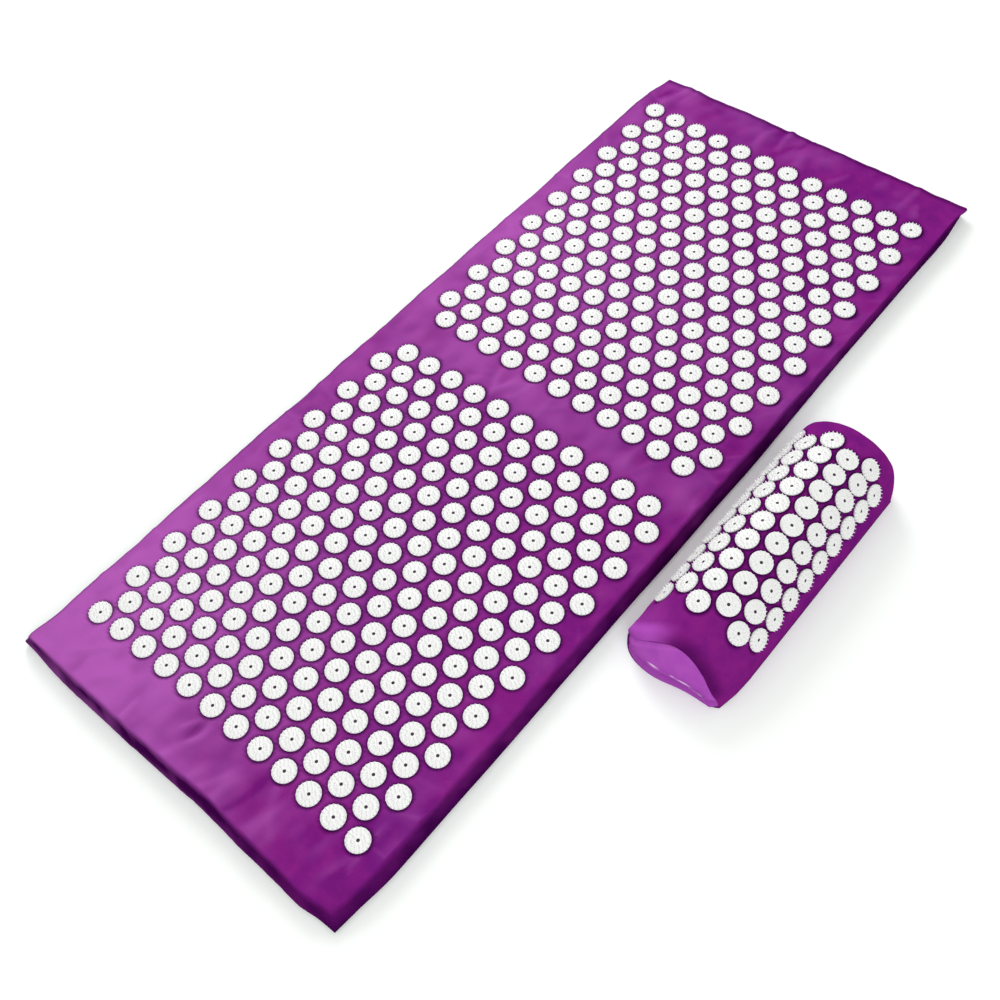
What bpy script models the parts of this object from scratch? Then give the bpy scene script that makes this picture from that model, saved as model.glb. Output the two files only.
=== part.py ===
# Acupressure mat with its half-round pillow, modelled piece by piece.
# Metres, +Z up. The origin is on the floor under the middle of the set.
# +Y runs along the mat to its head end, and the pillow stands on its +X side.

from math import pi

import bmesh
import bpy
import numpy as np
from mathutils import Vector

# The mat
mat_length = 1.268
mat_width = 0.526
mat_thickness = 0.025

# The pillow beside it
pillow_length = 0.360
pillow_width = 0.138
pillow_height = 0.088
pillow_gap = 0.0195
pillow_step_back = 0.011

# What both are sewn and filled with
cloth_thickness = 0.0012
clearance = 0.0003
overrun = 0.004

# The spiked discs on both
disc_width = 0.029
disc_crown = 0.0042
disc_sides = 7

# The fold lies just above the discs' tips, so that the two fields meet when the mat is folded.
# It is a little nearer the foot end, so the head half is the longer one.
fold_gap = 0.0018
fold_step_back = 0.002

mat_centre = -(pillow_gap + pillow_width) / 2
pillow_centre = mat_centre + mat_width / 2 + pillow_gap + pillow_width / 2
fold_height = mat_thickness + disc_crown + fold_gap
seam_height = cloth_thickness + clearance
foam_inset = cloth_thickness + clearance


def clear_scene():
    for item in list(bpy.data.objects):
        bpy.data.objects.remove(item, do_unlink=True)


def make_material(name, colour, roughness, metallic=0.0):
    material = bpy.data.materials.new(name)
    material.use_nodes = True
    shader = material.node_tree.nodes["Principled BSDF"]
    shader.inputs["Base Color"].default_value = (*colour, 1.0)
    shader.inputs["Roughness"].default_value = roughness
    shader.inputs["Metallic"].default_value = metallic
    material.diffuse_color = (*colour, 1.0)
    return material


def make_collection(name):
    collection = bpy.data.collections.new(name)
    bpy.context.scene.collection.children.link(collection)
    return collection


def make_object(name, mesh, material, parent, place=(0.0, 0.0, 0.0)):
    piece = bpy.data.objects.new(name, mesh)
    mesh.materials.append(material)
    piece.parent = parent
    piece.location = place
    parts.objects.link(piece)
    return piece


def mesh_from(name, shape, sharp_angle=pi / 5):
    """A mesh from a bmesh, shaded smooth except at its sharp edges."""
    mesh = bpy.data.meshes.new(name)
    if all(edge.is_manifold for edge in shape.edges):
        bmesh.ops.recalc_face_normals(shape, faces=shape.faces)
    shape.to_mesh(mesh)
    shape.free()
    mesh.shade_smooth()
    mesh.set_sharp_from_angle(angle=sharp_angle)
    return mesh


def make_empty(name, place, parent=None, turn=0.0):
    empty = bpy.data.objects.new(name, None)
    empty.empty_display_size = mat_thickness
    empty.location = place
    empty.rotation_euler = (0.0, 0.0, turn)
    empty.parent = parent
    parts.objects.link(empty)
    return empty


def make_cutter(name, mesh, parent, place=(0.0, 0.0, 0.0)):
    """A helper solid for a Boolean, kept out of the model."""
    cutter = bpy.data.objects.new(name, mesh)
    cutter.display_type = "WIRE"
    cutter.hide_render = True
    cutter.parent = parent
    cutter.location = place
    cutters.objects.link(cutter)
    return cutter


def face_outwards(shape, outward):
    """Turns an open sheet's faces so that, taken together, they look the way given."""
    shape.normal_update()
    facing = sum((face.normal * face.calc_area() for face in shape.faces), Vector())
    if facing.dot(outward) < 0:
        bmesh.ops.reverse_faces(shape, faces=shape.faces[:])


def add_solidify(piece, thickness):
    shell = piece.modifiers.new("Cloth thickness", "SOLIDIFY")
    shell.thickness = thickness
    shell.offset = -1.0
    shell.use_even_offset = True


def add_boolean(piece, operation, cutter):
    boolean = piece.modifiers.new(operation.title(), "BOOLEAN")
    boolean.operation = operation
    boolean.solver = "EXACT"
    boolean.object = cutter
    boolean.material_mode = "TRANSFER"


def box_mesh(name, low, high):
    """A plain block between two corners."""
    shape = bmesh.new()
    bmesh.ops.create_cube(shape, size=1.0)
    low = Vector(low)
    high = Vector(high)
    bmesh.ops.scale(shape, vec=high - low, verts=shape.verts)
    bmesh.ops.translate(shape, vec=(low + high) / 2, verts=shape.verts)
    return mesh_from(name, shape)


def outline_mesh(name, outlines, thickness, place):
    """A flat outline, with holes where one loop lies in another, made thick and moved to its place."""
    curve = bpy.data.curves.new(name, "CURVE")
    curve.dimensions = "2D"
    curve.fill_mode = "BOTH"
    curve.extrude = thickness / 2
    for points in outlines:
        spline = curve.splines.new("POLY")
        spline.points.add(len(points) - 1)
        for point, (across, up) in zip(spline.points, points):
            point.co = (across, up, 0.0, 1.0)
        spline.use_cyclic_u = True
    stand_in = bpy.data.objects.new(name, curve)
    bpy.context.scene.collection.objects.link(stand_in)
    drawn = stand_in.evaluated_get(bpy.context.evaluated_depsgraph_get())
    shape = bmesh.new()
    shape.from_mesh(bpy.data.meshes.new_from_object(drawn))
    bpy.data.objects.remove(stand_in)
    bpy.data.curves.remove(curve)
    bmesh.ops.remove_doubles(shape, verts=shape.verts, dist=clearance / 10)
    for vertex in shape.verts:
        vertex.co = place(vertex.co)
    return mesh_from(name, shape)


def disc_field(name, places, set_down):
    """Spiked discs as low dished rounds, bent onto a surface by set_down(across, along, lift)."""
    rim_slope = 0.0009
    disc_root = 0.0006
    dish_height = 0.0015
    shape = bmesh.new()
    for across, along in places:
        made = bmesh.ops.create_cone(
            shape,
            cap_ends=True,
            cap_tris=True,
            segments=disc_sides,
            radius1=disc_width / 2,
            radius2=disc_width / 2 - rim_slope,
            depth=disc_crown + disc_root,
        )
        for vertex in made["verts"]:
            x, y, z = vertex.co
            at_middle = Vector((x, y)).length < disc_width / 4
            lift = -disc_root
            if z > 0:
                lift = dish_height if at_middle else disc_crown
            vertex.co = set_down(across + x, along + y, lift)
    mesh = mesh_from(name, shape)
    mesh.materials.append(white_plastic)
    return mesh


# The mat's halves. Each is made in the mat's own frame: x from its middle line, y from its fold.

mat_side_lean = 0.007
mat_shoulder = 0.007
corner_draw = 0.006
corner_draw_run = 0.090
corner_draw_steps = 4
shoulder_steps = 3
zip_wall_set_back = 0.006
foam_end_room = 0.003

disc_pitch_across = 0.040
disc_pitch_along = 0.0299
strip_width = 0.0788
bare_end = 0.065
bare_side = 0.028
disc_step_across = 0.003
rows_of_discs = int((mat_length / 2 - strip_width / 2 - bare_end) / disc_pitch_along) + 1
discs_in_long_row = int((mat_width - 2 * bare_side) / disc_pitch_across) + 1

side_slope = mat_side_lean / mat_thickness
side_slant = (1 + side_slope * side_slope) ** 0.5
cover_foot = seam_height + cloth_thickness * side_slope / side_slant


def half_length(direction):
    return mat_length / 2 + direction * fold_step_back


def side_reach(to_end):
    """Half the mat's width at a distance from its end: the long sides are drawn in at the corners."""
    share = max(0.0, 1 - to_end / corner_draw_run)
    return mat_width / 2 - corner_draw * share * share


def place_along(share, end):
    """A distance from the fold: one long straight run, then short steps where the corner draws in."""
    step = round((share + 0.5) * (corner_draw_steps + 1))
    if step == 0:
        return clearance / 2
    return end - corner_draw_run * (1 - (step - 1) / corner_draw_steps)


def half_shape(direction, foot, inset, end, lean):
    """One half's padded block with a rounded shoulder round its top, inset from its outer faces.

    end is how far its end wall lies from the fold at floor level, and lean is that wall's slope.
    """
    shape = bmesh.new()
    bmesh.ops.create_cube(shape, size=1.0)
    long_edges = [e for e in shape.edges if e.verts[0].co.y != e.verts[1].co.y]
    bmesh.ops.subdivide_edges(shape, edges=long_edges, cuts=corner_draw_steps, use_grid_fill=True)
    for vertex in shape.verts:
        side, share, level = vertex.co
        height = mat_thickness - inset if level > 0 else foot
        along = place_along(share, end - lean * height)
        reach = side_reach(end - lean * height - along) - inset * side_slant - side_slope * height
        vertex.co = (2 * side * reach, direction * along, height)
    bmesh.ops.recalc_face_normals(shape, faces=shape.faces)
    bmesh.ops.dissolve_faces(shape, faces=[f for f in shape.faces if f.normal.z > 0.9])
    bmesh.ops.dissolve_faces(shape, faces=[f for f in shape.faces if f.normal.z < -0.9])
    top = max(shape.faces, key=lambda face: face.calc_center_median().z)
    fold_side = max(shape.faces, key=lambda face: -direction * face.normal.y)
    bmesh.ops.bevel(
        shape,
        geom=[edge for edge in top.edges if fold_side not in edge.link_faces],
        offset=mat_shoulder - inset,
        segments=shoulder_steps,
        profile=0.5,
        affect="EDGES",
        clamp_overlap=True,
    )
    shape.normal_update()
    return shape


def make_cover(name, direction, end, lean, parent, place, slot=None):
    """The top cloth and its side walls, open below and at the fold, with the discs fixed on it."""
    shape = half_shape(direction, cover_foot, 0.0, end, lean)
    open_faces = [f for f in shape.faces if f.normal.z < -0.9 or direction * f.normal.y < -0.9]
    bmesh.ops.delete(shape, geom=open_faces, context="FACES")
    cover = make_object(name, mesh_from(name, shape), cloth, parent, place)
    add_solidify(cover, cloth_thickness)
    if slot:
        add_boolean(cover, "DIFFERENCE", slot)
    discs = disc_field(name + "_discs", mat_disc_places(direction), on_mat_top)
    add_boolean(cover, "UNION", make_cutter(discs.name, discs, parent, place))


def make_foam(name, direction, end, lean, parent, place):
    shape = half_shape(direction, seam_height, foam_inset, end, lean)
    make_object(name, mesh_from(name, shape), foam, parent, place)


def make_base(name, direction, parent, place):
    """The flat cloth under one half, drawn in at its corners like the cover above it."""
    end = half_length(direction)
    shape = bmesh.new()
    bmesh.ops.create_grid(shape, x_segments=1, y_segments=corner_draw_steps + 1, size=0.5)
    for vertex in shape.verts:
        side, share, _ = vertex.co
        along = place_along(share, end)
        vertex.co = (2 * side * side_reach(end - along), direction * along, cloth_thickness)
    bmesh.ops.dissolve_faces(shape, faces=shape.faces[:])
    shape.normal_update()
    face_outwards(shape, Vector((0.0, 0.0, 1.0)))
    piece = make_object(name, mesh_from(name, shape), cloth, parent, place)
    add_solidify(piece, cloth_thickness)


def mat_disc_places(direction):
    """Rows across the mat, short and long by turns, counted from the bare strip to the end."""
    places = []
    for row in range(rows_of_discs):
        count = discs_in_long_row - (row + 1) % 2
        for column in range(count):
            across = disc_step_across + (column - (count - 1) / 2) * disc_pitch_across
            places.append((across, direction * (strip_width / 2 + row * disc_pitch_along)))
    return places


def on_mat_top(across, along, lift):
    return Vector((across, along, mat_thickness + lift))


def make_mat():
    foot_frame = make_empty("foot_half", (mat_centre, -fold_step_back, 0.0))
    fold = make_empty("fold_axis", (mat_centre, -fold_step_back, fold_height))
    drop = (0.0, 0.0, -fold_height)
    end = half_length(-1)
    zip_wall = half_length(1) - zip_wall_set_back
    make_cover("foot_cover", -1, end, side_slope, foot_frame, (0.0, 0.0, 0.0))
    make_foam("foot_foam", -1, end - foam_inset * side_slant, side_slope, foot_frame, (0.0, 0.0, 0.0))
    make_base("foot_base_panel", -1, foot_frame, (0.0, 0.0, 0.0))
    zip_place = Vector((0.0, zip_wall - cloth_thickness / 2, mat_zip_level - fold_height))
    slot = slot_cutter("mat_zip_slot", mat_zip_length, zip_place, fold)
    make_cover("head_cover", 1, zip_wall, 0.0, fold, drop, slot)
    make_foam("head_foam", 1, zip_wall - foam_end_room, 0.0, fold, drop)
    make_base("head_base_panel", 1, fold, drop)
    make_zip("mat_zip", mat_zip_length, zip_place, 0.0, fold)


# The zips: tapes with teeth, a slider that runs between the teeth, and its pull.
# Each is made in its own frame: x along the teeth, y outwards, z up.

mat_zip_margin = 0.040
mat_zip_level = 0.010
pillow_zip_margin = 0.020
pillow_zip_level = 0.0085
zip_slot_height = 0.011
tape_thickness = 0.0010

tooth_pitch = 0.006
tooth_tip = 0.0006
tooth_root = 0.0022
slider_length = 0.009
slider_height = 0.0064
slider_plate = 0.0010
slider_web = 0.0006
slider_end_room = 0.0055
pull_thickness = 0.0010
pull_length = 0.021
pull_width = 0.0060
pull_taper = 0.0006
bail_width = 0.0016
bail_wall = 0.0008
bail_steps = 6

bar_reach = pull_thickness * 0.5 ** 0.5
plate_seat = tape_thickness / 2 + clearance
plate_top = plate_seat + slider_plate
pull_axis_height = plate_top + clearance + bar_reach
bail_bore = bar_reach + clearance
mat_zip_length = mat_width - 2 * mat_zip_margin
pillow_zip_length = pillow_width - 2 * pillow_zip_margin


def upright(co):
    """Stands a drawn outline up in the zip's plane."""
    return Vector((co.x, -co.z, co.y))


def make_tape(name, length, side, parent):
    """One tape. Its teeth stop short of the middle line, where the slider's web runs."""
    half = length / 2 - clearance
    outer = zip_slot_height / 2 - clearance
    teeth = int(2 * half / tooth_pitch) - 1
    shift = side * tooth_pitch / 4
    points = [(half, side * outer), (-half, side * outer), (-half, side * tooth_root)]
    for tooth in range(teeth):
        middle = (tooth - (teeth - 1) / 2) * tooth_pitch + shift
        points.append((middle - tooth_pitch / 2, side * tooth_root))
        points.append((middle, side * tooth_tip))
    points.append((middle + tooth_pitch / 2, side * tooth_root))
    points.append((half, side * tooth_root))
    mesh = outline_mesh(name, [points], tape_thickness, upright)
    make_object(name, mesh, tape, parent)


def bail_outline():
    """Half a ring on two legs, round the axis that the pull turns on."""
    outer = bail_bore + bail_wall
    foot = plate_top - slider_plate / 2
    turns = np.linspace(0.0, pi, bail_steps + 1)
    outside = [(outer * np.cos(t), pull_axis_height + outer * np.sin(t)) for t in turns]
    inside = [(-bail_bore * np.cos(t), pull_axis_height + bail_bore * np.sin(t)) for t in turns]
    return [(outer, foot), *outside, (-outer, foot), (-bail_bore, foot), *inside, (bail_bore, foot)]


def make_slider(name, parent):
    """Two plates joined by a thin web between the teeth, with the bail that holds the pull."""
    half = slider_length / 2
    rise = slider_height / 2
    web_reach = plate_seat + slider_plate / 2
    web_low = (-half + slider_plate, -web_reach, -slider_web / 2)
    web_high = (half - slider_plate, web_reach, slider_web / 2)
    outer = box_mesh(name, (-half, plate_seat, -rise), (half, plate_top, rise))
    web = box_mesh(name + "_web", web_low, web_high)
    inner = box_mesh(name + "_inner", (-half, -plate_top, -rise), (half, -plate_seat, rise))
    bail = outline_mesh(name + "_bail", [bail_outline()], bail_width, lambda co: co)
    slider = make_object(name, outer, metal, parent)
    for extra in (web, inner, bail):
        extra.materials.append(metal)
        add_boolean(slider, "UNION", make_cutter(extra.name, extra, parent))


def make_pull(name, parent):
    """A flat tab whose end bar lies under the bail, with that bar on its own origin."""
    bar = pull_thickness / 2
    eye_end = bail_bore + bail_wall + clearance
    eye_rise = bail_width / 2 + clearance
    rise = pull_width / 2
    neck = rise - pull_taper
    upper = [(pull_length, rise / 2), (pull_length - rise / 2, rise), (pull_length / 3, neck), (-bar, neck)]
    outline = [(x, -y) for x, y in upper[::-1]] + upper
    eye = [(bar, -eye_rise), (eye_end, -eye_rise), (eye_end, eye_rise), (bar, eye_rise)]
    mesh = outline_mesh(name, [outline, eye], pull_thickness, upright)
    make_object(name, mesh, metal, parent)


def make_zip(prefix, length, place, turn, parent):
    """A whole zip, closed. place is the middle of its teeth, and turn faces it outwards."""
    frame = make_empty(prefix + "_frame", place, parent, turn)
    slider_at = -(length / 2 - clearance - slider_end_room)
    carriage = make_empty(prefix + "_carriage", (slider_at, 0.0, 0.0), frame)
    hinge = make_empty(prefix + "_pull_axis", (0.0, pull_axis_height, 0.0), carriage)
    make_tape(prefix + "_upper_tape", length, 1, frame)
    make_tape(prefix + "_lower_tape", length, -1, frame)
    make_slider(prefix + "_slider", carriage)
    make_pull(prefix + "_pull", hinge)


def slot_cutter(name, length, place, parent):
    half = Vector((length / 2, overrun, zip_slot_height / 2))
    return make_cutter(name, box_mesh(name, -half, half), parent, place)


# The pillow: an arch of cloth over a foam block, with two end panels and a base.
# It is made in its own frame: x across from its middle line, y along it.

near_end_drop = 0.021
near_end_upright = 0.014
near_end_lean = 0.026
near_corner_set_back = 0.006
far_end_drop = 0.012
far_corner_set_back = 0.012
corner_run = 0.017

# Its ends differ: the near one leans back above a low upright part, the far one stands upright
end_drop = {-1: near_end_drop, 1: far_end_drop}
end_droop_power = {-1: 2, 1: 4}
end_upright = {-1: near_end_upright, 1: 0.0}
end_lean = {-1: near_end_lean, 1: 0.0}
corner_set_back = {-1: near_corner_set_back, 1: far_corner_set_back}
arch_steps = 18
length_steps = 10
end_columns = 6
corner_steps = 3

column_pitch = 0.0289
pillow_disc_pitch = 0.0292
row_crowding = 0.046
bare_foot = 0.045
bare_near_end = 0.059
bare_far_end = 0.035


def pillow_end(across, height, direction):
    """How far an end face lies from the pillow's middle, at a place on it."""
    top = pillow_height - end_drop[direction]
    upright = end_upright[direction]
    climb = max(0.0, (height - upright) / (top - upright))
    turned = max(0.0, (abs(across) - pillow_width / 2 + corner_run) / corner_run)
    set_back = end_lean[direction] * climb * climb + corner_set_back[direction] * turned * turned
    return pillow_length / 2 - set_back


def arch_point(turn, share, lift=0.0, end_inset=0.0):
    """A point on the arch: turn goes over it from the +X side, share runs from -1 to 1 along it."""
    direction = 1 if share > 0 else -1
    drop = end_drop[direction]
    end_height = pillow_height - drop + lift
    height = pillow_height - drop * abs(share) ** end_droop_power[direction] + lift
    across = (pillow_width / 2 + lift) * np.cos(turn)
    end = pillow_end(across, seam_height + (end_height - seam_height) * np.sin(turn), direction)
    level = seam_height + (height - seam_height) * np.sin(turn)
    return Vector((across, share * (end - end_inset), level))


def end_point(turn, share, direction, lift=0.0, end_inset=0.0):
    """A point on an end face: turn goes up it and share runs across it."""
    edge = arch_point(turn, direction, lift)
    across = share * edge.x
    return Vector((across, direction * (pillow_end(across, edge.z, direction) - end_inset), edge.z))


def arch_runs():
    """Turns over the arch, and how far the outer cloth has run at each from its +X foot."""
    turns = np.linspace(0.0, pi, 361)
    across = pillow_width / 2 * np.cos(turns)
    up = (pillow_height - seam_height) * np.sin(turns)
    run = np.concatenate([[0.0], np.cumsum(np.hypot(np.diff(across), np.diff(up)))])
    return turns, run


def on_pillow(across, along, lift):
    """A place measured over the cloth from the +X foot, and along it from the middle."""
    turns, run = arch_runs()
    turn = np.interp(across, run, turns)
    edge = arch_point(turn, 1.0 if along > 0 else -1.0)
    return arch_point(turn, along / abs(edge.y), lift)


def pillow_disc_places():
    """Columns along the pillow, short and long by turns, whose rows crowd towards the far end."""
    _, run = arch_runs()
    columns = int((run[-1] - 2 * bare_foot) / column_pitch) + 1
    span = pillow_length - bare_near_end - bare_far_end
    steps = int(span / pillow_disc_pitch)
    places = []
    for column in range(columns):
        across = run[-1] / 2 + (column - (columns - 1) / 2) * column_pitch
        short = 1 - column % 2
        for row in range(steps + 1 - short):
            share = (row + short / 2) / steps
            along = span * share * (1 + row_crowding * (1 - share))
            places.append((across, bare_near_end - pillow_length / 2 + along))
    return places


def arch_sheet(shape, lift, end_inset):
    """Adds the arch as a grid of faces."""
    made = bmesh.ops.create_grid(shape, x_segments=arch_steps, y_segments=length_steps, size=1.0)
    for vertex in made["verts"]:
        turn = (1 - vertex.co.x) * pi / 2
        vertex.co = arch_point(turn, vertex.co.y, lift, end_inset)


def end_sheet(shape, direction, lift, end_inset):
    """Adds an end face as a grid that closes to a point at its top, flat between its corners."""
    flat_share = 1 - corner_run / (pillow_width / 2)
    knot_share = 1 - 2 / end_columns
    made = bmesh.ops.create_grid(shape, x_segments=end_columns, y_segments=arch_steps // 2, size=1.0)
    for vertex in made["verts"]:
        turn = (vertex.co.y + 1) * pi / 4
        spread = np.interp(abs(vertex.co.x), (0.0, knot_share, 1.0), (0.0, flat_share, 1.0))
        share = spread if vertex.co.x > 0 else -spread
        vertex.co = end_point(turn, share, direction, lift, end_inset)


def make_pillow_cover(stand):
    shape = bmesh.new()
    arch_sheet(shape, 0.0, 0.0)
    face_outwards(shape, Vector((0.0, 0.0, 1.0)))
    cover = make_object("pillow_cover", mesh_from("pillow_cover", shape), cloth, stand)
    add_solidify(cover, cloth_thickness)
    discs = disc_field("pillow_cover_discs", pillow_disc_places(), on_pillow)
    add_boolean(cover, "UNION", make_cutter(discs.name, discs, stand))


def make_pillow_panel(name, direction, stand, slot=None):
    """A D-shaped end cloth, set inside the arch's mouth."""
    shape = bmesh.new()
    end_sheet(shape, direction, -foam_inset, 0.0)
    bmesh.ops.remove_doubles(shape, verts=shape.verts, dist=clearance / 10)
    face_outwards(shape, Vector((0.0, direction, 0.0)))
    panel = make_object(name, mesh_from(name, shape), cloth, stand)
    add_solidify(panel, cloth_thickness)
    if slot:
        add_boolean(panel, "DIFFERENCE", slot)


def make_pillow_base(stand):
    """The flat cloth under the pillow, cut to the outline of the arch's foot."""
    side = pillow_width / 2
    across = np.linspace(side - corner_run, side, corner_steps + 1)
    far_corner = [(x, pillow_end(x, 0.0, 1)) for x in across]
    near_corner = [(x, -pillow_end(x, 0.0, -1)) for x in across]
    half = far_corner + near_corner[::-1]
    outline = half + [(-x, y) for x, y in half[::-1]]
    lift = Vector((0.0, 0.0, cloth_thickness / 2))
    mesh = outline_mesh("pillow_base_panel", [outline], cloth_thickness, lambda co: co + lift)
    make_object("pillow_base_panel", mesh, cloth, stand)


def make_pillow_foam(stand):
    shape = bmesh.new()
    arch_sheet(shape, -foam_inset, foam_end_room)
    for direction in (-1, 1):
        end_sheet(shape, direction, -foam_inset, foam_end_room)
    bmesh.ops.remove_doubles(shape, verts=shape.verts, dist=clearance / 10)
    rim = [edge for edge in shape.edges if edge.is_boundary]
    bmesh.ops.contextual_create(shape, geom=rim)
    make_object("pillow_foam", mesh_from("pillow_foam", shape), foam, stand)


def make_pillow():
    stand = make_empty("pillow_stand", (pillow_centre, -pillow_step_back, 0.0))
    zip_place = Vector((0.0, cloth_thickness / 2 - pillow_length / 2, pillow_zip_level))
    slot = slot_cutter("pillow_zip_slot", pillow_zip_length, zip_place, stand)
    make_pillow_cover(stand)
    make_pillow_panel("pillow_near_panel", -1, stand, slot)
    make_pillow_panel("pillow_far_panel", 1, stand)
    make_pillow_base(stand)
    make_pillow_foam(stand)
    make_zip("pillow_zip", pillow_zip_length, zip_place, pi, stand)


clear_scene()
parts = make_collection("acupressure_mat_set")
cutters = make_collection("cutters")
cloth = make_material("violet_cloth", (0.27, 0.02, 0.28), 0.85)
foam = make_material("foam", (0.82, 0.80, 0.70), 0.95)
white_plastic = make_material("white_plastic", (0.93, 0.94, 0.92), 0.35)
tape = make_material("violet_tape", (0.20, 0.015, 0.22), 0.7)
metal = make_material("violet_slider", (0.22, 0.02, 0.24), 0.4)
make_mat()
make_pillow()
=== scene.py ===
# Acupressure mat and its pillow: padded cloth, spiked discs, zips, floor, light and camera.
# Metres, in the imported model's frame. +Y runs to the mat's zipped end and +X to the pillow.

from math import pi, radians

import bpy
import numpy as np
from mathutils import Matrix, Vector


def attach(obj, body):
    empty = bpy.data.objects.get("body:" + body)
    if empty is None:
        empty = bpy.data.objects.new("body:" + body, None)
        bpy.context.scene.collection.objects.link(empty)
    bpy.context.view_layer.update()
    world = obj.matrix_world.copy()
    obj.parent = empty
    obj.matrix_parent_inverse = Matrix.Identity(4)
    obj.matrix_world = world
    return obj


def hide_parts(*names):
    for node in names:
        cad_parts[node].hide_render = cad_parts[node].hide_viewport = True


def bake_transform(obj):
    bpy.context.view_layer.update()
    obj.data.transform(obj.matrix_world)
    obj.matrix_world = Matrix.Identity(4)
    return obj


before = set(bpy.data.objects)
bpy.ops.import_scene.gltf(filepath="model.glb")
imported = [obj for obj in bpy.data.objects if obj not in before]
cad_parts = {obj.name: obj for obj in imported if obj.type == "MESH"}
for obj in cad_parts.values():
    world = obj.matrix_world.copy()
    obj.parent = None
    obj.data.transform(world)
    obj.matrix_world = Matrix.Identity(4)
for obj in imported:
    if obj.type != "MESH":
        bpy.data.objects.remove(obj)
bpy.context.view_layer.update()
print("frame loaded:", len(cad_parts), "solids")


# Quantities that belong together at each place, such as x, y and z
def together(*parts):
    return np.stack(np.broadcast_arrays(*parts), -1)


# Quads between rows of point numbers. Where rows run along y and columns along x they face up.
def rowFaces(ids, flip=False):
    quads = together(ids[:-1, :-1], ids[:-1, 1:], ids[1:, 1:], ids[1:, :-1]).reshape(-1, 4)
    return quads[:, [0, 3, 2, 1]] if flip else quads


def gridFaces(rows, columns, flip=False):
    quads = rowFaces(np.arange(rows * columns).reshape(rows, columns))
    return quads[:, ::-1] if flip else quads


# The same between closed loops of point numbers
def loopFaces(ids, flip=False):
    return rowFaces(np.hstack([ids, ids[:, :1]]), flip)


# A mesh object at the origin from whole arrays: points, lists of faces, a UV and masks for each point.
def meshPiece(name, points, faceSets, material, uv=None, masks=None, sharpAngle=None):
    loops = np.concatenate([faces.ravel() for faces in faceSets])
    sizes = np.concatenate([np.full(len(faces), faces.shape[1]) for faces in faceSets])
    mesh = bpy.data.meshes.new(name)
    mesh.vertices.add(len(points))
    mesh.vertices.foreach_set("co", np.asarray(points, np.float32).ravel())
    mesh.loops.add(len(loops))
    mesh.loops.foreach_set("vertex_index", loops.astype(np.int32))
    mesh.polygons.add(len(sizes))
    mesh.polygons.foreach_set("loop_start", np.append(0, np.cumsum(sizes)[:-1]).astype(np.int32))
    mesh.update(calc_edges=True)
    if uv is not None:
        layer = mesh.uv_layers.new(name="cut")
        layer.data.foreach_set("uv", np.asarray(uv, np.float32)[loops].ravel())
    for label, values in (masks or {}).items():
        mask = mesh.attributes.new(label, "FLOAT", "POINT")
        mask.data.foreach_set("value", np.asarray(values, np.float32).ravel())
    mesh.validate()
    mesh.shade_smooth()
    if sharpAngle:
        mesh.set_sharp_from_angle(angle=sharpAngle)
    mesh.materials.append(material)
    return linked(name, mesh)


def linked(name, data):
    piece = bpy.data.objects.new(name, data)
    bpy.context.scene.collection.objects.link(piece)
    return piece


# A body of closed loops of points, one after the other, with a flat face at each end
def bodyPiece(name, loops, material, flip=False):
    ids = np.arange(loops[..., 0].size).reshape(loops.shape[:2])
    ends = [ids[:1], ids[-1:, ::-1]] if flip else [ids[:1, ::-1], ids[-1:]]
    points = loops.reshape(-1, 3)
    return meshPiece(name, points, [loopFaces(ids, flip), *ends], material, points[:, :2])


# Rises smoothly from 0 at the first limit to 1 at the second, which may be the lower one
def ease(value, low, high):
    share = np.clip((value - low) / (high - low), 0.0, 1.0)
    return share * share * (3 - 2 * share)


# A bell curve round a place, with its own spread each way
def bell(u, v, middle, spread):
    return np.exp(-((u - middle[0]) / spread[0]) ** 2 - ((v - middle[1]) / spread[1]) ** 2)


# The way along a line of points, from its first point to each of them
def runAlong(u, v):
    return np.append(0.0, np.cumsum(np.hypot(np.diff(u), np.diff(v))))


# Soft unevenness: a sum of sine waves of many directions and lengths, all from one seed, about -1 to 1.
def unevenness(u, v, waveLength, seed):
    waves = 9
    evenOut = 1.4
    chance = np.random.default_rng(seed)
    total = np.zeros(np.broadcast(u, v).shape)
    turns, sizes, phases = (chance.uniform(*span, waves) for span in ((0, pi), (0.6, 1.7), (0, 2 * pi)))
    for turn, size, phase in zip(turns, sizes, phases):
        pitch = 2 * pi / (waveLength * size)
        total += np.sin(pitch * (u * np.cos(turn) + v * np.sin(turn)) + phase)
    return total / waves ** 0.5 / evenOut


# Creases: each is a ridge along a slightly bent line, round across it and fading at both of its ends.
def creases(u, v, lines):
    total = np.zeros(np.broadcast(u, v).shape)
    for startU, startV, turn, length, width, height, bend in lines:
        along = (u - startU) * np.cos(turn) + (v - startV) * np.sin(turn)
        aside = (v - startV) * np.cos(turn) - (u - startU) * np.sin(turn) + bend * along * along / length
        total += height * np.exp(-(aside / width) ** 2 - (2 * along / length) ** 4)
    return total


# Materials

def put(tree, kind, values=None, **settings):
    node = tree.nodes.new(kind)
    for key, value in settings.items():
        setattr(node, key, value)
    for key, value in (values or {}).items():
        if hasattr(value, "links"):
            tree.links.new(value, node.inputs[key])
        else:
            node.inputs[key].default_value = value
    return node


def sums(tree, operation, first, second=0.0):
    return put(tree, "ShaderNodeMath", {0: first, 1: second}, operation=operation).outputs[0]


def product(tree, first, second):
    return sums(tree, "MULTIPLY", first, second)


# A value moved from one range to another and kept inside it
def ranged(tree, value, low, high, toLow=0.0, toHigh=1.0):
    return put(tree, "ShaderNodeMapRange", {0: value, 1: low, 2: high, 3: toLow, 4: toHigh}).outputs[0]


# Two colours mixed by a share, each of them a socket or three numbers
def mixColours(tree, share, first, second):
    first, second = (value if hasattr(value, "links") else (*value, 1.0) for value in (first, second))
    return put(tree, "ShaderNodeMix", {0: share, 6: first, 7: second}, data_type="RGBA").outputs[2]


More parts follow.
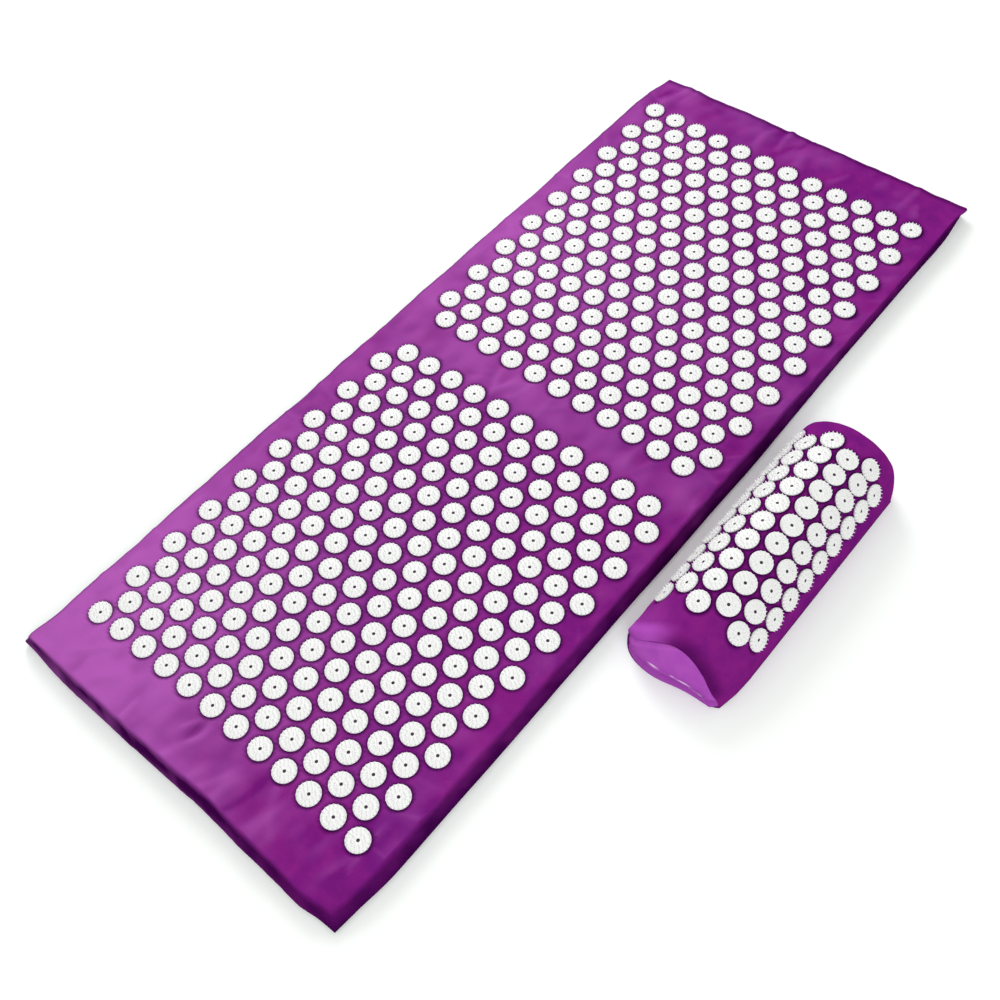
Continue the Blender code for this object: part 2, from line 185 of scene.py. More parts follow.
def noise(tree, place, scale, detail):
    return put(tree, "ShaderNodeTexNoise", {"Vector": place, "Scale": scale, "Detail": detail}).outputs[0]


def ownPlace(tree):
    return put(tree, "ShaderNodeTexCoord").outputs["Object"]


def maskNamed(tree, label):
    return put(tree, "ShaderNodeAttribute", attribute_name=label).outputs["Fac"]


# A group of float outputs. An input without a value is a vector.
def newGroup(name, inputs, outputs):
    group = bpy.data.node_groups.new(name, "ShaderNodeTree")
    for label, value in inputs.items():
        kind = "NodeSocketVector" if value is None else "NodeSocketFloat"
        socket = group.interface.new_socket(label, in_out="INPUT", socket_type=kind)
        if value is not None:
            socket.default_value = value
    for label in outputs:
        group.interface.new_socket(label, in_out="OUTPUT", socket_type="NodeSocketFloat")
    return group, group.nodes.new("NodeGroupInput").outputs, group.nodes.new("NodeGroupOutput").inputs


# Plain weave: threads cross over and under in turn, so each thread's round back shows where it is on top.
def makeWeaveGroup():
    group, given, made = newGroup("plainWeave", {"Cut": None, "Threads": 1800.0}, ("Height", "Slub"))
    cut = put(group, "ShaderNodeSeparateXYZ", {0: given["Cut"]})
    waves = []
    for axis in (0, 1):
        pitch = product(group, cut.outputs[axis], given["Threads"])
        waves.append(sums(group, "SINE", product(group, pitch, pi)))
    over = sums(group, "GREATER_THAN", product(group, *waves), 0.0)
    under = sums(group, "SUBTRACT", 1.0, over)
    warp, weft = (product(group, sums(group, "ABSOLUTE", wave), on) for wave, on in zip(waves, (over, under)))
    group.links.new(sums(group, "ADD", warp, weft), made["Height"])
    group.links.new(noise(group, given["Cut"], 320.0, 2.0), made["Slub"])
    return group


# Uneven dye: wide clouds and small ones, from 0 to 1, and specks of lint, in the object's own coordinates.
def makeDyeGroup():
    group, given, made = newGroup("unevenDye", {"Wide": 7.0, "Small": 60.0}, ("Mask", "Lint"))
    place = ownPlace(group)
    wide, small = (noise(group, place, given[label], detail) for label, detail in (("Wide", 2.0), ("Small", 3.0)))
    both = sums(group, "ADD", product(group, wide, 0.5), product(group, small, 0.5))
    group.links.new(ranged(group, both, 0.38, 0.62), made["Mask"])
    group.links.new(ranged(group, noise(group, place, 900.0, 1.0), 0.66, 0.74), made["Lint"])
    return group


weaveGroup = makeWeaveGroup()
dyeGroup = makeDyeGroup()


def newMaterial(name, roughness, **constants):
    material = bpy.data.materials.new(name)
    material.use_nodes = True
    tree = material.node_tree
    shader = tree.nodes["Principled BSDF"]
    shader.inputs["Roughness"].default_value = roughness
    for label, value in constants.items():
        shader.inputs[label.replace("_", " ")].default_value = value
    return material, tree, shader


# Joins up a material's colour, and the height that its bump comes from
def wire(tree, shader, colour, height, strength, depth):
    tree.links.new(colour, shader.inputs["Base Color"])
    bump = put(tree, "ShaderNodeBump", {"Height": height, "Strength": strength, "Distance": depth})
    tree.links.new(bump.outputs[0], shader.inputs["Normal"])


# Cotton: uneven dye, painted light where the pale mask says, painted shade where the shade mask says and in the
# tuck round each disc, specks of lint in the painted light's pale colour, and a plain weave.
def makeCotton(name, look):
    material, tree, shader = newMaterial(name, look["roughness"], Specular_IOR_Level=0.0)
    dye = put(tree, "ShaderNodeGroup", node_tree=dyeGroup).outputs
    colour = mixColours(tree, dye["Mask"], look["deep"], look["light"])
    for label, key, most in (("pale", "lintAndPaintedLight", 1.0), ("shade", "shaded", 1.0), ("tuck", "shaded", 0.85)):
        colour = mixColours(tree, ranged(tree, maskNamed(tree, label), 0.0, most, 0.0, most), colour, look[key])
    colour = mixColours(tree, product(tree, dye["Lint"], look["lint"]), colour, look["lintAndPaintedLight"])
    cut = put(tree, "ShaderNodeUVMap", uv_map="cut").outputs[0]
    weave = put(tree, "ShaderNodeGroup", node_tree=weaveGroup)
    weave.inputs["Threads"].default_value = look["threads"]
    tree.links.new(cut, weave.inputs["Cut"])
    slub = weave.outputs["Slub"]
    colour = mixColours(tree, product(tree, slub, look["slub"]), colour, look["deep"])
    height = sums(tree, "ADD", product(tree, weave.outputs["Height"], 0.6), slub)
    wire(tree, shader, colour, height, look["bump"], look["depth"])
    limits = (look["roughness"] - look["uneven"], look["roughness"] + look["uneven"])
    tree.links.new(ranged(tree, dye["Mask"], 0.0, 1.0, *limits), shader.inputs["Roughness"])
    return material


# The cotton's looks: the dye's deep and light colours, the colour of painted shade, and one pale colour for lint
# specks and for painted light
topLook = {
    "deep": (0.175, 0.010, 0.200),
    "light": (0.250, 0.015, 0.225),
    "shaded": (0.040, 0.001, 0.055),
    "lintAndPaintedLight": (0.470, 0.110, 0.480),
    "roughness": 0.70, "uneven": 0.06, "lint": 0.10, "slub": 0.10, "threads": 1500.0, "bump": 0.35,
    "depth": 0.0003,
}
baseLook = dict(topLook, deep=(0.10, 0.006, 0.11), light=(0.14, 0.009, 0.15), lintAndPaintedLight=(0.22, 0.03, 0.24))
# A lighter copy of the violet cotton for both end panels: painted light, standing in for the light that falls on
# the near end. Its pale colour is the glints' painted highlight and lint
endLitLook = dict(topLook, deep=(0.42, 0.075, 0.50), light=(0.50, 0.100, 0.56), lintAndPaintedLight=(1.0, 0.75, 1.0))
topCloth = makeCotton("violetCotton", topLook)
# The pillow's cotton, with its own pale colour for painted light and lint
archCloth = makeCotton("pillowCotton", dict(topLook, lintAndPaintedLight=(0.50, 0.090, 0.56)))
baseCloth = makeCotton("darkVioletCotton", baseLook)
endLitCloth = makeCotton("violetCottonPaintedLit", endLitLook)


# Open foam: pores are the middles of a cell pattern, painted darker as painted shade in them.
def makeFoamMaterial(poreShade, foam):
    material, tree, shader = newMaterial("openFoam", 0.95)
    cells = put(tree, "ShaderNodeTexVoronoi", {"Vector": ownPlace(tree), "Scale": 900.0})
    pore = ranged(tree, cells.outputs["Distance"], 0.1, 0.5)
    wire(tree, shader, mixColours(tree, pore, poreShade, foam), pore, 0.5, 0.0005)
    return material


discLook = {
    "white": (0.93, 0.935, 0.925),
    "hollow": (0.72, 0.76, 0.72),
    "cloud": (0.82, 0.88, 0.80),
    # painted shade in the hole's middle
    "holeShade": (0.035, 0.012, 0.030),
    "ribs": 18.0,
}


# White moulded plastic: fine ribs run out from each disc's middle, with faint grey painted shade in the hollows.
def makeDiscMaterial(look):
    material, tree, shader = newMaterial("whitePlastic", 0.34, Subsurface_Weight=0.0, Specular_IOR_Level=0.4)
    cut = put(tree, "ShaderNodeUVMap", uv_map="cut").outputs[0]
    x, y = put(tree, "ShaderNodeSeparateXYZ", {0: cut}).outputs[:2]
    turn = sums(tree, "ARCTAN2", y, x)
    squares = [sums(tree, "POWER", way, 2.0) for way in (x, y)]
    band = ranged(tree, sums(tree, "SQRT", sums(tree, "ADD", *squares)), 0.28, 0.45)
    ribs = sums(tree, "SINE", product(tree, turn, look["ribs"]))
    hollow = product(tree, ranged(tree, ribs, 0.1, 0.95), band)
    cloud = ranged(tree, noise(tree, ownPlace(tree), 420.0, 2.0), 0.50, 0.70)
    colour = look["white"]
    shares = (product(tree, hollow, 0.18), product(tree, cloud, 0.25), maskNamed(tree, "holeShade"))
    for key, share in zip(("hollow", "cloud", "holeShade"), shares):
        colour = mixColours(tree, share, colour, look[key])
    wire(tree, shader, colour, hollow, 0.5, -0.0004)
    return material


# Zip tape and its teeth: a narrow herringbone, sine waves whose slant turns back again and again.
def makeTapeMaterial(name, deep, light):
    material, tree, shader = newMaterial(name, 0.55, Sheen_Weight=0.1)
    place = put(tree, "ShaderNodeSeparateXYZ", {0: ownPlace(tree)}).outputs
    zigzag = sums(tree, "PINGPONG", product(tree, place[2], 9000.0), 6.0)
    slant = sums(tree, "ADD", product(tree, place[0], 4200.0), zigzag)
    share = ranged(tree, sums(tree, "SINE", slant), -1.0, 1.0)
    wire(tree, shader, mixColours(tree, share, deep, light), share, 0.4, 0.0002)
    return material


# Painted zip metal: small scuffs in the paint, paler and rougher than the rest.
def makePaintMaterial(name, paint, worn):
    material, tree, shader = newMaterial(name, 0.34, Metallic=0.35, Coat_Weight=0.3)
    scuffs = noise(tree, ownPlace(tree), 700.0, 4.0)
    tree.links.new(mixColours(tree, ranged(tree, scuffs, 0.56, 0.72), paint, worn), shader.inputs["Base Color"])
    tree.links.new(ranged(tree, scuffs, 0.0, 1.0, 0.25, 0.5), shader.inputs["Roughness"])
    return material


foamFill = makeFoamMaterial((0.55, 0.52, 0.42), (0.84, 0.82, 0.72))
discPlastic = makeDiscMaterial(discLook)
matTape = makeTapeMaterial("violetTape", (0.16, 0.012, 0.18), (0.24, 0.02, 0.26))
pillowTape = makeTapeMaterial("lightVioletTape", (0.34, 0.055, 0.37), (0.46, 0.10, 0.49))
matZipPaint = makePaintMaterial("violetPaint", (0.20, 0.016, 0.22), (0.45, 0.30, 0.46))
pillowZipPaint = makePaintMaterial("lightVioletPaint", (0.50, 0.13, 0.53), (0.85, 0.60, 0.88))
print("materials made")


# The mat

# The mat's own x runs from its middle line and its own y from its fold
mat = {
    "place": (-0.07875, -0.002), "nearEnd": 0.632, "farEnd": 0.636, "half": 0.263, "top": 0.025,
    "crown": 0.0006, "pinch": 0.0013, "rim": 0.0135, "seam": 0.0075, "spacing": 0.0039,
    "foldHalf": 0.0165, "foldRows": 23, "cornerDraw": 0.006, "nearRightDraw": 1.3, "drawRun": 0.090,
    "farFlat": 0.624, "farSlant": 0.0045, "farNarrowing": 0.42, "farEdgeOut": 0.0042,
    "wallOut": 0.0070,
    # the zip's opening in the far wall: its half length, and the first and last ring of the profile there
    "pocket": 0.2405,
    "pocketRings": (8, 12),
    "fan": 0.014, "earSize": 0.024, "earPower": 1.3,
    # each corner's ear, near left and right, far left and right: how far the top runs out across and along,
    # what is left of the side's and the end's outward run, and how far the top sinks
    "ears": (
        (0.0115, 0.0022, 0.80, 0.64, 0.0043), (0.0006, -0.0045, 1.25, 1.12, 0.0043),
        (0.0005, 0.0043, 0.81, 0.85, 0.0043), (0.0068, 0.0100, -0.50, 0.73, 0.0090),
    ),
    # the near corners' sides and radii
    "roundings": ((-1, 0.004), (1, 0.012)),
    # the near end's soft waves: size, middle and spread
    "nearWaves": ((0.0012, -0.18, 0.10), (-0.0026, 0.050, 0.045), (0.0022, 0.205, 0.025)),
    # where the painted light on the top is strongest: how much, middle and spread
    "paintedLightSpots": (
        (0.72, (-0.22, -0.594), (0.247, 0.257)),
        (0.42, (-0.46, 0.214), (0.65, 0.157)),
        (0.26, (0.03, 0.0), (0.34, 0.032)),
    ),
    # unevenness of the top: size, wave length and seed
    "topWaves": ((0.0010, 0.085, 3), (0.0006, 0.024, 4)),
    # unevenness of the walls: size, stretch upwards, wave length and seed
    "wallWaves": ((0.0011, 1.5, 0.060, 21), (0.0006, 3.0, 0.019, 22)),
    # how strongly the creases are painted, lighter on their ridges and with painted shade in their hollows, and how
    # dark the painted shade line along the far edge is
    "sway": 0.0007, "reliefLightAndShade": 110, "farEdgeShade": 0.75, "underColumns": 4,
    "sheetThickness": 0.00125,
}
discs = {
    "radius": 0.0142, "across": 0.040, "along": 0.0299, "strip": 0.0394, "aside": 0.003, "rows": 18,
    "longRow": 12, "fieldMiddle": 0.293, "fieldHalf": (0.220, 0.254), "tuckShadeRun": 0.0042,
}
# The wall's profile in hundredths of a millimetre: outward run from the top's flat edge, height, and outward
# run at the zipped end
rimProfile = np.array([
    (0, 220, 420, 550, 600, 600, 670, 830, 850, 1060, 1250, 1340, 1320, 1310, 1240, 1160, 1060),
    (2500, 2488, 2430, 2320, 2190, 2050, 1830, 1570, 1545, 1250, 950, 650, 455, 430, 290, 205, 135),
    (0, 200, 370, 490, 560, 580, 660, 700, 350, 350, 350, 350, 350, 700, 740, 770, 700),
]).T / 1e5
# The soft mat lets its discs stray a little from their even rows. In millimetres, for each half across and
# along: a cubic in the place's share across and along that half, its terms in rising powers of both.
nearDrift = (
    (0.0, -4.5, 0.7, 3.2, 4.0, -2.0, -3.4, 0.3, -1.1, -4.8),
    (0.7, 2.6, 3.1, -2.9, -0.8, -0.2, -0.5, -3.2, -1.5, 1.9),
)
farDrift = (
    (0.5, -2.3, -0.9, -0.5, 4.2, 0.9, -3.0, -0.3, -0.4, -3.9),
    (0.9, -2.2, -2.4, 1.5, 1.3, 0.8, -0.6, 0.6, 2.3, -1.7),
)


def drifted(across, along):
    x = np.clip(across / discs["fieldHalf"][0], -1.1, 1.1)
    y = np.clip((np.abs(along) - discs["fieldMiddle"]) / discs["fieldHalf"][1], -1.1, 1.1)
    terms = [x ** a * y ** b for a in range(4) for b in range(4 - a)]
    near, far = (
        [sum(size * term for size, term in zip(sizes, terms)) for sizes in drift] for drift in (nearDrift, farDrift)
    )
    return 0.001 * np.where(along < 0, near, far)


# How many discs a row has: each second row from the fold is a long one
def rowCount(row):
    return discs["longRow"] - (row + 1) % 2


# Distance to the nearest disc's middle: the nearest of three rows, then the nearest place in that row.
def toNearestDisc(across, along):
    across = across - discs["aside"]
    moves = drifted(across, along)
    across, along = across - moves[0], np.abs(along - moves[1]) - discs["strip"]
    best = np.full(np.broadcast(across, along).shape, 1.0)
    nearRow = np.round(along / discs["along"])
    for step in (-1, 0, 1):
        row = np.clip(nearRow + step, 0, discs["rows"] - 1)
        half = (rowCount(row) - 1) / 2
        place = np.clip(np.round(across / discs["across"] + half), 0, 2 * half) - half
        away = np.hypot(across - place * discs["across"], along - row * discs["along"])
        best = np.minimum(best, away)
    return best


# Painted shade in the tuck round a disc: 1 at its rim, falling evenly to 0 a little way out
def tuckShadeShare(away):
    return np.clip(1 - (away - discs["radius"]) / discs["tuckShadeRun"], 0, 2)


# 0 under a disc and 1 where the cloth is free of it
def bare(away, run=0.006, inside=0.0):
    return ease(away, discs["radius"] - inside, discs["radius"] + run)


# Faint creases of the loose cotton: most run along the mat, and gather in its bare margins.
def matCreases():
    chance = np.random.default_rng(11)
    lines = []
    for low, high, count, size in ((-0.62, -0.55, 26, 2.4), (0.55, 0.62, 20, 2.0), (-0.03, 0.03, 18, 1.6)):
        for _ in range(count):
            turn = chance.normal(radians(78), radians(22))
            lines.append((
                chance.uniform(-0.245, 0.245), chance.uniform(low, high), turn, chance.uniform(0.03, 0.09),
                chance.uniform(0.0034, 0.0075), size * chance.uniform(-0.0008, 0.0015), chance.uniform(-0.5, 0.5),
            ))
    for side in (-1, 1):
        for along in np.linspace(-0.57, 0.57, 44) + chance.uniform(-0.01, 0.01, 44):
            lines.append((
                side * chance.uniform(0.228, 0.250), along, chance.normal(radians(35) * side, radians(40)),
                chance.uniform(0.02, 0.05), chance.uniform(0.002, 0.004), chance.uniform(-0.0008, 0.0014), 0.0,
            ))
    return lines


# The cloth's height over the mat: a low crown, tucked down round every disc and rolled along its edges.
def matTop(across, along, away):
    edge = np.minimum(mat["half"] - np.abs(across), toEnd(along))
    tuck = mat["pinch"] * (bare(away, 0.0065, 0.0005) - 1)
    droop = -0.0011 * (1 - ease(edge, 0.012, 0.050))
    rolled = ease(unevenness(across, along, 0.16, 6), -0.5, 0.6)
    roll = -0.0010 * np.exp(-((edge - 0.0235) / 0.0035) ** 2) * rolled
    return mat["top"] + mat["crown"] + tuck + droop + roll


# Waves and creases of the cloth between the discs
def matRelief(across, along, away):
    loose = sum(unevenness(across, along, length, seed) * size for size, length, seed in mat["topWaves"])
    return bare(away) * (loose + creases(across, along, matCreases()))


def toEnd(along):
    return np.minimum(mat["farEnd"] - along, along + mat["nearEnd"])


# How near a place is to a corner of the flat top: a bell curve of its distance from that corner
def nearCorner(across, along):
    flat = mat["half"] - mat["rim"] - mat["cornerDraw"]
    ends = np.where(along > 0, mat["farFlat"] - along, along + mat["nearEnd"] - mat["rim"])
    return np.exp(-(np.hypot(np.abs(across) - flat, ends) / mat["earSize"]) ** 2)


# Moves that round the top's near corners: the square in each corner is pressed into a quarter disc, each way
# by the root of 1 less half the other way's square.
def roundCorners(across, along, nearRow, flat):
    moves = np.zeros((2, *across.shape))
    for side, radius in mat["roundings"]:
        u = np.clip(1 - (flat - sideDraw(along, side) - side * across) / radius, 0, 1)
        v = np.clip(1 - (along - nearRow) / radius, 0, 1)
        moves[0] += side * radius * u * (np.sqrt(1 - v * v / 2) - 1)
        moves[1] -= radius * v * (np.sqrt(1 - u * u / 2) - 1)
    return moves


def foldRows():
    return np.linspace(-mat["foldHalf"], mat["foldHalf"], mat["foldRows"])


# Rows a little apart over each half, and close ones over the fold
def matRows():
    near = mat["rim"] - mat["nearEnd"]
    steps = int((-near - mat["foldHalf"]) / mat["spacing"])
    fold = foldRows()
    far = np.linspace(fold[-1], mat["farFlat"], steps)
    return np.concatenate([np.linspace(near, fold[0], steps)[:-1], fold, far[1:]])


# How far the long sides are drawn in, with the square of the way into the corner, and most at the near right
def sideDraw(along, side=0.0):
    most = mat["cornerDraw"] * (1 + mat["nearRightDraw"] * ((side > 0) & (along < 0)))
    return most * np.clip(1 - toEnd(along) / mat["drawRun"], 0, 1) ** 2


# Share of what only the zipped half does, growing from the fold
def farShare(along):
    return ease(along, 0.05, 0.42)


# How far the near end runs out: it isn't quite straight, in soft waves that are bell curves
def nearWave(across):
    return sum(size * np.exp(-((across - middle) / spread) ** 2) for size, middle, spread in mat["nearWaves"])


# Painted light on the top, as a share: a broad painted highlight, most at the near left, then along the fold, less
# towards the right, and taken back a little at the ends and at the near right
def paintedTopLight(across, along):
    nearRight = ease(-along, 0.50, 0.57) * ease(across, -0.05, 0.10)
    ends = 0.14 * ease(along, 0.50, 0.57) + 0.10 * nearRight
    even = 0.17 - 0.74 * across + 0.05 * ease(np.abs(along), 0.02, 0.06) - ends
    return sum((size * bell(across, along, middle, spread) for size, middle, spread in mat["paintedLightSpots"]), even)


# Painted shade on the walls, ring by ring: the sides most at their foot and the ends at mid height
def paintedWallShade(run, toSide):
    level = rimProfile[1:, 1:2]
    heights = (0.002, 0.006, 0.011, 0.017, 0.0215, 0.0243, 0.0249)
    sideBands = np.interp(level, heights, (1.0, 1.0, 0.88, 0.74, 0.68, 0.45, 0.15))
    endBands = np.interp(level, heights, (0.60, 0.50, 0.85, 1.00, 0.95, 0.65, 0.20))
    onSide = ease(toSide, 0.010, 0.0)
    bands = sideBands * onSide + endBands * (1 - onSide)
    waves = ((0.20, 0.075, 24), (0.08, 0.024, 25))
    return np.clip(bands * sum((size * unevenness(run, level * 2, *wave) for size, *wave in waves), 1), 0, 1)


# The mat's cloth: a grid for the top, rings that run out and down round it by the wall's profile, and the
# underside. At a corner the top runs out into a thin ear.
def makeMatCloth():
    rows = matRows()
    flat = mat["half"] - mat["rim"]
    columns = int(2 * flat / mat["spacing"]) + 1
    along, side = np.meshgrid(rows, np.linspace(-1, 1, columns), indexing="ij")
    across = side * (flat - sideDraw(along, side))
    corner = nearCorner(across, along)
    tip = corner ** mat["earPower"]
    ears = np.array(mat["ears"])[2 * (along > 0) + (across > 0)]
    earOut, earOn, earThin, earShort, earDrop = np.moveaxis(ears, -1, 0)
    slant = mat["farSlant"] * side * ease(along, 0.50, mat["farFlat"])
    softened = roundCorners(across, along, rows[0], flat)
    outward = mat["farEdgeOut"] * farShare(along) * ease(side * flat, flat - 0.030, flat)
    wave = -nearWave(across) * ease(along, rows[0] + 0.040, rows[0])
    away = toNearestDisc(across, along)
    relief = matRelief(across, along, away)
    top = together(
        across + outward + softened[0] + earOut * tip * np.sign(across),
        along + softened[1] + earOn * corner * np.sign(along) + slant + wave,
        matTop(across, along, away) + relief - earDrop * corner,
    )
    count = len(rows)
    flatCount = count * columns
    border = np.concatenate([
        np.arange(columns),
        np.arange(1, count) * columns + columns - 1,
        (count - 1) * columns + np.arange(columns - 2, -1, -1),
        np.arange(count - 2, 0, -1) * columns,
    ])
    turn = len(border)
    at = np.unravel_index(border, along.shape)
    x, y = across[at], along[at]
    run = runAlong(x, y)
    toSide = flat - sideDraw(y, x) - np.abs(x)
    toFar = mat["farFlat"] - y
    touching = 1e-7
    sideShare, nearShare, farEndShare = (
        np.where(room < touching, 1.0, np.clip(1 - room / mat["fan"], 0, 1) ** 2)
        for room in (toSide, y - rows[0], toFar)
    )
    sideways = np.sign(x) * sideShare * (1 - (tip * (1 - earThin))[at])
    narrower = 1 - mat["farNarrowing"] * farShare(y) * (x > 0)
    shorter = 1 - (corner * (1 - earShort))[at]
    onward = (earOn * corner)[at]
    pocket = (toFar < touching) & (np.abs(x) < mat["pocket"])
    sway = mat["sway"] * unevenness(run, 0.0, 0.22, 23)
    reach = np.clip((top[..., 2][at] - mat["seam"]) / (mat["top"] - mat["seam"]), 0, None)
    down = runAlong(rimProfile[:, 0], rimProfile[:, 1])
    rings = []
    ringCuts = []
    for place, (out, height, farOut) in enumerate(rimProfile[1:], 1):
        opened = mat["pocketRings"][0] <= place <= mat["pocketRings"][1]
        far = np.where(opened & ~pocket, mat["wallOut"], farOut)
        middle = np.sin(pi * min(1.0, (mat["top"] - height) / 0.021))
        wobble = sum(size * unevenness(run, height * up, *wave) for size, up, *wave in mat["wallWaves"]) * middle
        belly = out + np.where(toFar < 0.01, 0.0, wobble) + sway * min(1.0, out / 0.006)
        moves = softened[:, at[0], at[1]] * min(1.0, out / 0.0085)
        ringX = top[..., 0][at] + sideways * narrower * belly - outward[at] * min(1.0, out / 0.0130) - moves[0]
        ringY = top[..., 1][at] - nearShare * shorter * belly + farEndShare * far * shorter
        ringY = ringY - slant[at] * (1 - ease(height, 0.016, 0.0215)) - onward * (pocket & opened) - moves[1]
        ringZ = mat["seam"] + (height - mat["seam"]) * reach if height > mat["seam"] else height
        rings.append(together(ringX, ringY, ringZ))
        ringCuts.append(together(run + 1.0, -down[place]))
    ringIds = np.concatenate([border[None], flatCount + np.arange(turn * len(rings)).reshape(-1, turn)])
    # the underside, a few columns wide, and a fan of triangles at each of its ends
    inner = mat["underColumns"]
    last = rings[-1]
    left = (turn - np.arange(count)) % turn
    right = columns - 1 + np.arange(count)
    inwards = (np.arange(1, inner + 1) / (inner + 1))[None, :, None]
    under = last[left][:, None] * (1 - inwards) + last[right][:, None] * inwards
    under[0, :, 1] += 0.004
    under[-1, :, 1] -= 0.004
    underIds = np.concatenate([
        ringIds[-1][left][:, None],
        flatCount + turn * len(rings) + np.arange(count * inner).reshape(count, inner),
        ringIds[-1][right][:, None],
    ], axis=1)
    pick = np.round(np.arange(columns) * (inner + 1) / (columns - 1)).astype(int)
    jump = np.nonzero(np.diff(pick))[0]
    fans = []
    for first, backRow in ((0, underIds[0]), (columns + count - 2, underIds[-1][::-1])):
        ids = ringIds[-1][(first + np.arange(columns)) % turn]
        fans.append(together(ids[:-1], backRow[pick[:-1]], ids[1:])[1:])
        fans.append(together(ids[jump + 1], backRow[pick[jump]], backRow[pick[jump + 1]]))
    fans = np.concatenate(fans)
    distinct = (fans[:, 0] != fans[:, 1]) & (fans[:, 1] != fans[:, 2]) & (fans[:, 0] != fans[:, 2])
    faceSets = [gridFaces(count, columns), loopFaces(ringIds, True), rowFaces(underIds, True), fans[distinct]]
    cut = together(across, along).reshape(-1, 2)
    under = under.reshape(-1, 3)
    points = np.concatenate([top.reshape(-1, 3), *rings, under])
    uv = np.concatenate([cut, *ringCuts, under[:, :2]])
    rest = np.zeros(len(points) - flatCount)
    # Painted light and shade: crease ridges painted lighter and their hollows darker, a painted shade line along
    # the far edge, painted shade on the walls and over the whole underside, painted light on the top, and painted
    # shade in the tuck round each disc
    relief = np.append(relief.ravel(), rest) * mat["reliefLightAndShade"]
    farEdgeShade = mat["farEdgeShade"] * ease(along, mat["farFlat"] - 0.006, mat["farFlat"])
    shade = np.concatenate([farEdgeShade.ravel(), paintedWallShade(run, toSide).ravel(), np.ones(len(under))])
    masks = {
        "shade": shade + np.clip(-relief, 0, 0.5) * 0.6,
        "pale": paintedTopLight(points[:, 0], points[:, 1]) + relief,
        "tuck": np.append(tuckShadeShare(away).ravel(), rest),
    }
    points[:, :2] += mat["place"]
    cloth = meshPiece("matCloth", points, faceSets, topCloth, uv, masks)
    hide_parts("foot_cover", "head_cover")
    foldBlend(cloth)


def foldBlend(piece):
    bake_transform(piece)


slabs = {
    # points across the foot and the top of a row
    "steps": 9,
    # the base: how far inside the cloth at its sides, the width of its rolled side, how much narrower at the far
    # end, its near end and its rows
    "baseIn": 0.002, "baseSide": 0.0006, "baseFar": 0.0125, "baseNear": 0.0055, "baseRows": 61,
    # the foam: half its width, how far inside that its shoulder and top are, its heights at foot, shoulder and
    # top, how thin it gets at the near corners, its ends and its rows
    "foamHalf": 0.2495, "foamShoulder": 0.005, "foamTop": 0.008, "foamHeights": (0.0022, 0.0165, 0.0215),
    "foamThin": 0.75, "foamEnds": (-0.614, 0.619), "foamRows": 81,
}


# A slab across the mat: each row is a closed loop, under the slab to the right and back over it to the left.
def matSlab(name, near, far, count, outline, material):
    rows = np.unique(np.append(np.linspace(near, far, count), foldRows()))[:, None]
    across, height = outline(rows)
    loops = together(across, rows, height)
    loops[..., :2] += mat["place"]
    return bodyPiece(name, loops, material, True)


# Heights round such a row: the slab's foot, right side, top and left side
def slabHeights(foot, side, top):
    return np.repeat((foot, side, top, side), (slabs["steps"], 1, slabs["steps"], 1))


# The mat's base: a thin sheet with a narrow edge at each side.
def makeMatBase():
    thick = mat["sheetThickness"]

    def outline(rows):
        half = mat["half"] - slabs["baseIn"]
        left = -(half - sideDraw(rows, -1))
        right = half - sideDraw(rows, 1) - slabs["baseFar"] * mat["farNarrowing"] * farShare(rows)
        flat = np.linspace(left[:, 0] + slabs["baseSide"], right[:, 0] - slabs["baseSide"], slabs["steps"]).T
        return np.hstack([flat, right, flat[:, ::-1], left]), slabHeights(0.0, thick / 2, thick)

    near = slabs["baseNear"] - mat["nearEnd"]
    base = matSlab("matBase", near, mat["farEnd"], slabs["baseRows"], outline, baseCloth)
    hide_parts("foot_base_panel", "head_base_panel")
    foldBlend(base)


# The mat's foam: a block with chamfered shoulders, a little inside the cloth all round and thin at its corners.
def makeMatFoam():
    shares = np.array([-1, -0.96, -0.9, -0.7, 0, 0.7, 0.9, 0.96, 1])

    def outline(rows):
        reach = slabs["foamHalf"] - sideDraw(rows)
        shoulder = reach - slabs["foamShoulder"]
        across = np.hstack([shares * reach, shoulder, shares[::-1] * (reach - slabs["foamTop"]), -shoulder])
        return across, slabHeights(*slabs["foamHeights"]) * (1 - slabs["foamThin"] * nearCorner(across, rows))

    foam = matSlab("matFoam", *slabs["foamEnds"], slabs["foamRows"], outline, foamFill)
    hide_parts("foot_foam", "head_foam")
    foldBlend(foam)


makeMatCloth()
makeMatBase()
makeMatFoam()
print("mat cloth, base and foam made")


# The spiked discs

spikes = {
    "sides": 18,
    # a disc's outline from its foot over the rim to the hole: distance from the middle, height, and the mask of the
    # painted shade in the hole
    "profile": (
        (0.0138, -0.0009, 0), (0.0142, 0.0010, 0), (0.0130, 0.0014, 0), (0.0021, 0.0012, 0), (0.0018, 0.0002, 1),
    ),
    # count, inner root, outer root, tip's place, tip's height, half width
    "rings": (
        (18, 0.0098, 0.0140, 0.0136, 0.0042, 0.00122),
        (10, 0.0055, 0.0086, 0.0078, 0.0040, 0.0011),
        (5, 0.0028, 0.0050, 0.0044, 0.0036, 0.0010),
    ),
    "root": 0.0008, "sharp": radians(32), "tipping": radians(1.6),
}


def unit(vectors):
    return vectors / np.linalg.norm(vectors, axis=1, keepdims=True)


